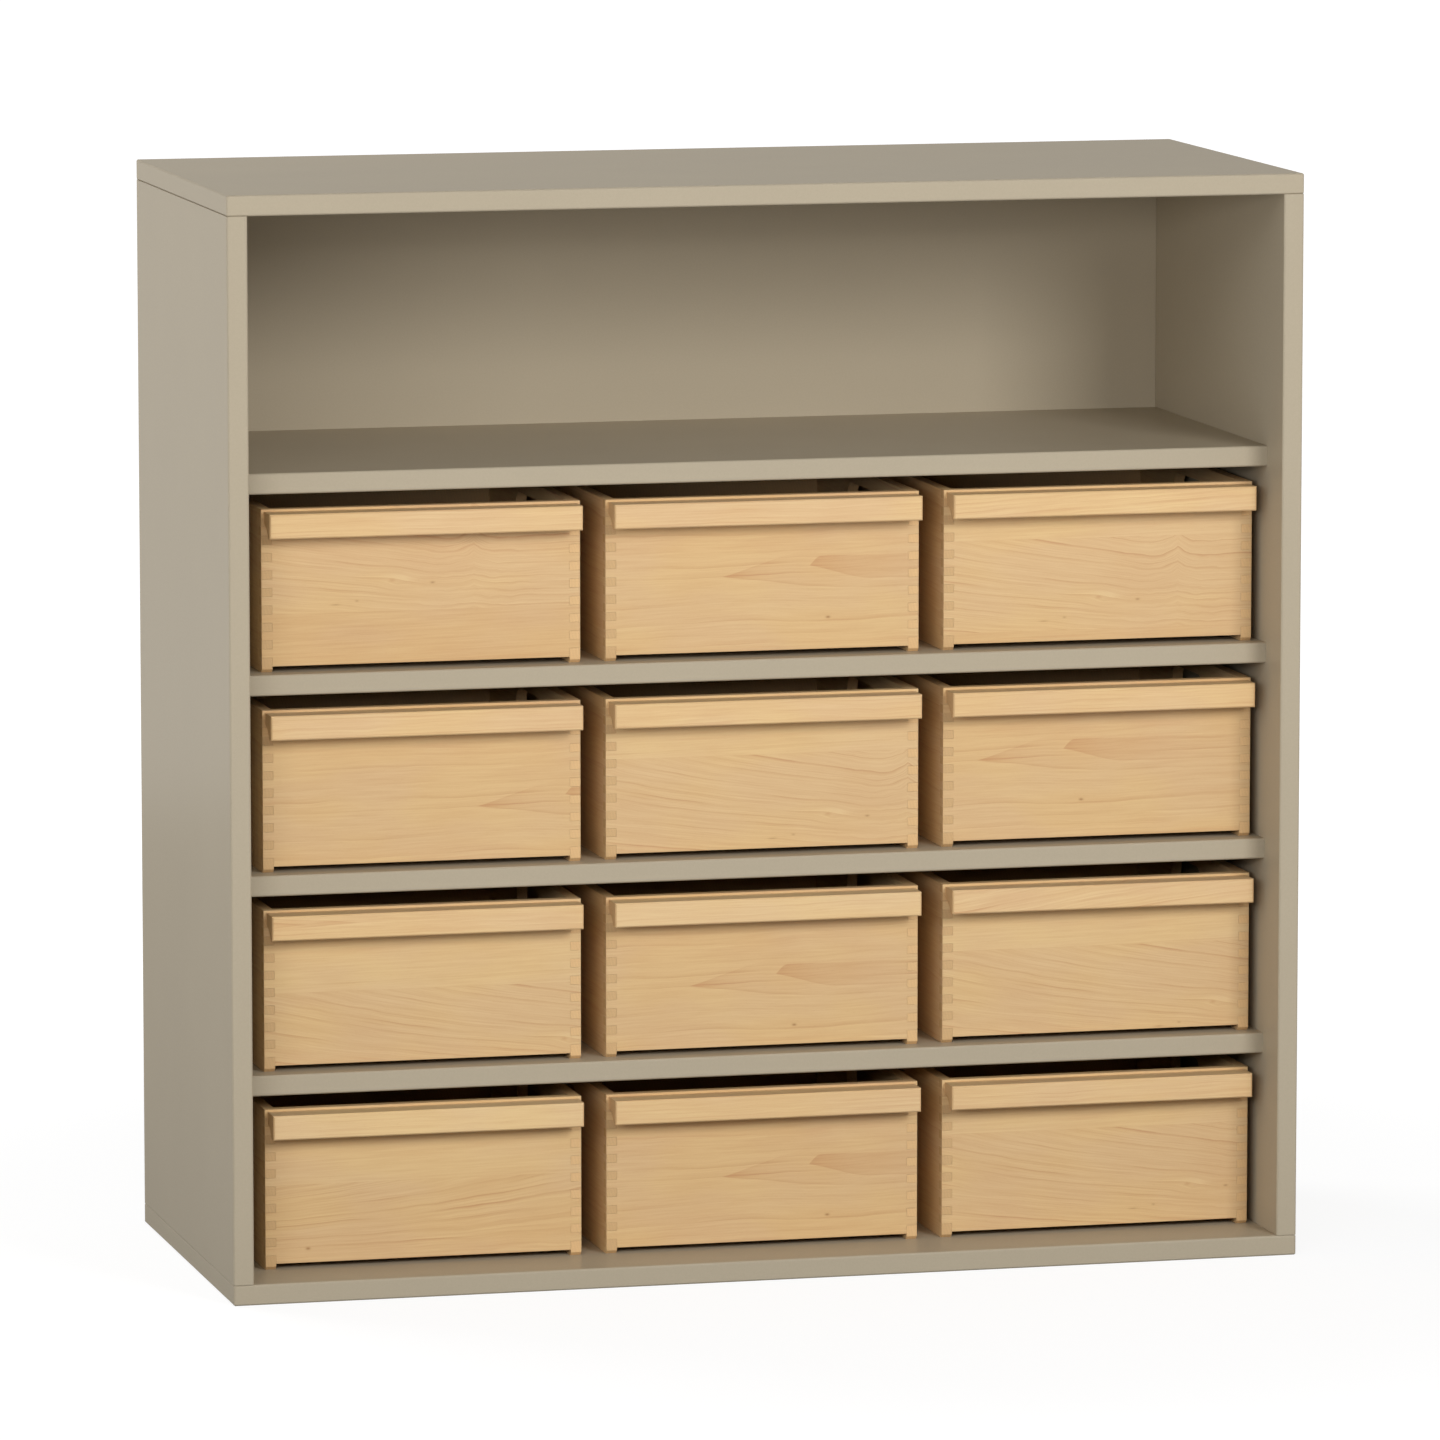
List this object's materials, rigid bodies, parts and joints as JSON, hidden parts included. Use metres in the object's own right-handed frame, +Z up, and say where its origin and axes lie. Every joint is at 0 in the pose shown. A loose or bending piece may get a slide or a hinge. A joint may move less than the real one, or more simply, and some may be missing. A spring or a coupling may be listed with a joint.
{
  "type": "tray storage cabinet",
  "caption": "Open-fronted cabinet with fixed shelves, finger-jointed wooden trays that slide out by handle strips, and one open compartment on top.",
  "frame": {"origin": "on the floor, under the middle of the cabinet's footprint", "axes": "+Z up, -Y out of the open front, +X to the right as seen from the front"},
  "size_m": [1.016, 0.428, 1.017],
  "materials": {
    "cabinet_board": "satin greige lacquer on smooth board",
    "tongue_wood": "plain wood, hidden in the joints",
    "tray_front_wood": "clear-lacquered pale maple, edge-glued boards",
    "tray_handle_wood": "clear-lacquered pale maple, straight grain",
    "tray_wall_wood": "clear-lacquered pale maple",
    "tray_bottom_wood": "thin pale plywood"
  },
  "bodies": {
    "cabinet": {"bottom_panel": "cabinet_board", "top_panel": "cabinet_board", "left_side": "cabinet_board", "right_side": "cabinet_board", "back_panel": "cabinet_board", "side_tongues": "tongue_wood", "back_tongues": "tongue_wood", "shelf_1": "cabinet_board", "shelf_2": "cabinet_board", "shelf_3": "cabinet_board", "shelf_4": "cabinet_board"},
    "tray_r1c1": {"tray_r1c1_front": "tray_front_wood", "tray_r1c1_handle": "tray_handle_wood", "tray_r1c1_walls": "tray_wall_wood", "tray_r1c1_bottom": "tray_bottom_wood"},
    "tray_r1c2": {"tray_r1c2_front": "tray_front_wood", "tray_r1c2_handle": "tray_handle_wood", "tray_r1c2_walls": "tray_wall_wood", "tray_r1c2_bottom": "tray_bottom_wood"},
    "tray_r1c3": {"tray_r1c3_front": "tray_front_wood", "tray_r1c3_handle": "tray_handle_wood", "tray_r1c3_walls": "tray_wall_wood", "tray_r1c3_bottom": "tray_bottom_wood"},
    "tray_r2c1": {"tray_r2c1_front": "tray_front_wood", "tray_r2c1_handle": "tray_handle_wood", "tray_r2c1_walls": "tray_wall_wood", "tray_r2c1_bottom": "tray_bottom_wood"},
    "tray_r2c2": {"tray_r2c2_front": "tray_front_wood", "tray_r2c2_handle": "tray_handle_wood", "tray_r2c2_walls": "tray_wall_wood", "tray_r2c2_bottom": "tray_bottom_wood"},
    "tray_r2c3": {"tray_r2c3_front": "tray_front_wood", "tray_r2c3_handle": "tray_handle_wood", "tray_r2c3_walls": "tray_wall_wood", "tray_r2c3_bottom": "tray_bottom_wood"},
    "tray_r3c1": {"tray_r3c1_front": "tray_front_wood", "tray_r3c1_handle": "tray_handle_wood", "tray_r3c1_walls": "tray_wall_wood", "tray_r3c1_bottom": "tray_bottom_wood"},
    "tray_r3c2": {"tray_r3c2_front": "tray_front_wood", "tray_r3c2_handle": "tray_handle_wood", "tray_r3c2_walls": "tray_wall_wood", "tray_r3c2_bottom": "tray_bottom_wood"},
    "tray_r3c3": {"tray_r3c3_front": "tray_front_wood", "tray_r3c3_handle": "tray_handle_wood", "tray_r3c3_walls": "tray_wall_wood", "tray_r3c3_bottom": "tray_bottom_wood"},
    "tray_r4c1": {"tray_r4c1_front": "tray_front_wood", "tray_r4c1_handle": "tray_handle_wood", "tray_r4c1_walls": "tray_wall_wood", "tray_r4c1_bottom": "tray_bottom_wood"},
    "tray_r4c2": {"tray_r4c2_front": "tray_front_wood", "tray_r4c2_handle": "tray_handle_wood", "tray_r4c2_walls": "tray_wall_wood", "tray_r4c2_bottom": "tray_bottom_wood"},
    "tray_r4c3": {"tray_r4c3_front": "tray_front_wood", "tray_r4c3_handle": "tray_handle_wood", "tray_r4c3_walls": "tray_wall_wood", "tray_r4c3_bottom": "tray_bottom_wood"}
  },
  "joints": [
    {"name": "tray_r1c1_slide", "type": "slide", "parent": "cabinet", "child": "tray_r1c1", "axis": [0, -1, 0], "range_m": [0, 0.36]},
    {"name": "tray_r1c2_slide", "type": "slide", "parent": "cabinet", "child": "tray_r1c2", "axis": [0, -1, 0], "range_m": [0, 0.36]},
    {"name": "tray_r1c3_slide", "type": "slide", "parent": "cabinet", "child": "tray_r1c3", "axis": [0, -1, 0], "range_m": [0, 0.36]},
    {"name": "tray_r2c1_slide", "type": "slide", "parent": "cabinet", "child": "tray_r2c1", "axis": [0, -1, 0], "range_m": [0, 0.36]},
    {"name": "tray_r2c2_slide", "type": "slide", "parent": "cabinet", "child": "tray_r2c2", "axis": [0, -1, 0], "range_m": [0, 0.36]},
    {"name": "tray_r2c3_slide", "type": "slide", "parent": "cabinet", "child": "tray_r2c3", "axis": [0, -1, 0], "range_m": [0, 0.36]},
    {"name": "tray_r3c1_slide", "type": "slide", "parent": "cabinet", "child": "tray_r3c1", "axis": [0, -1, 0], "range_m": [0, 0.36]},
    {"name": "tray_r3c2_slide", "type": "slide", "parent": "cabinet", "child": "tray_r3c2", "axis": [0, -1, 0], "range_m": [0, 0.36]},
    {"name": "tray_r3c3_slide", "type": "slide", "parent": "cabinet", "child": "tray_r3c3", "axis": [0, -1, 0], "range_m": [0, 0.36]},
    {"name": "tray_r4c1_slide", "type": "slide", "parent": "cabinet", "child": "tray_r4c1", "axis": [0, -1, 0], "range_m": [0, 0.36]},
    {"name": "tray_r4c2_slide", "type": "slide", "parent": "cabinet", "child": "tray_r4c2", "axis": [0, -1, 0], "range_m": [0, 0.36]},
    {"name": "tray_r4c3_slide", "type": "slide", "parent": "cabinet", "child": "tray_r4c3", "axis": [0, -1, 0], "range_m": [0, 0.36]}
  ]
}
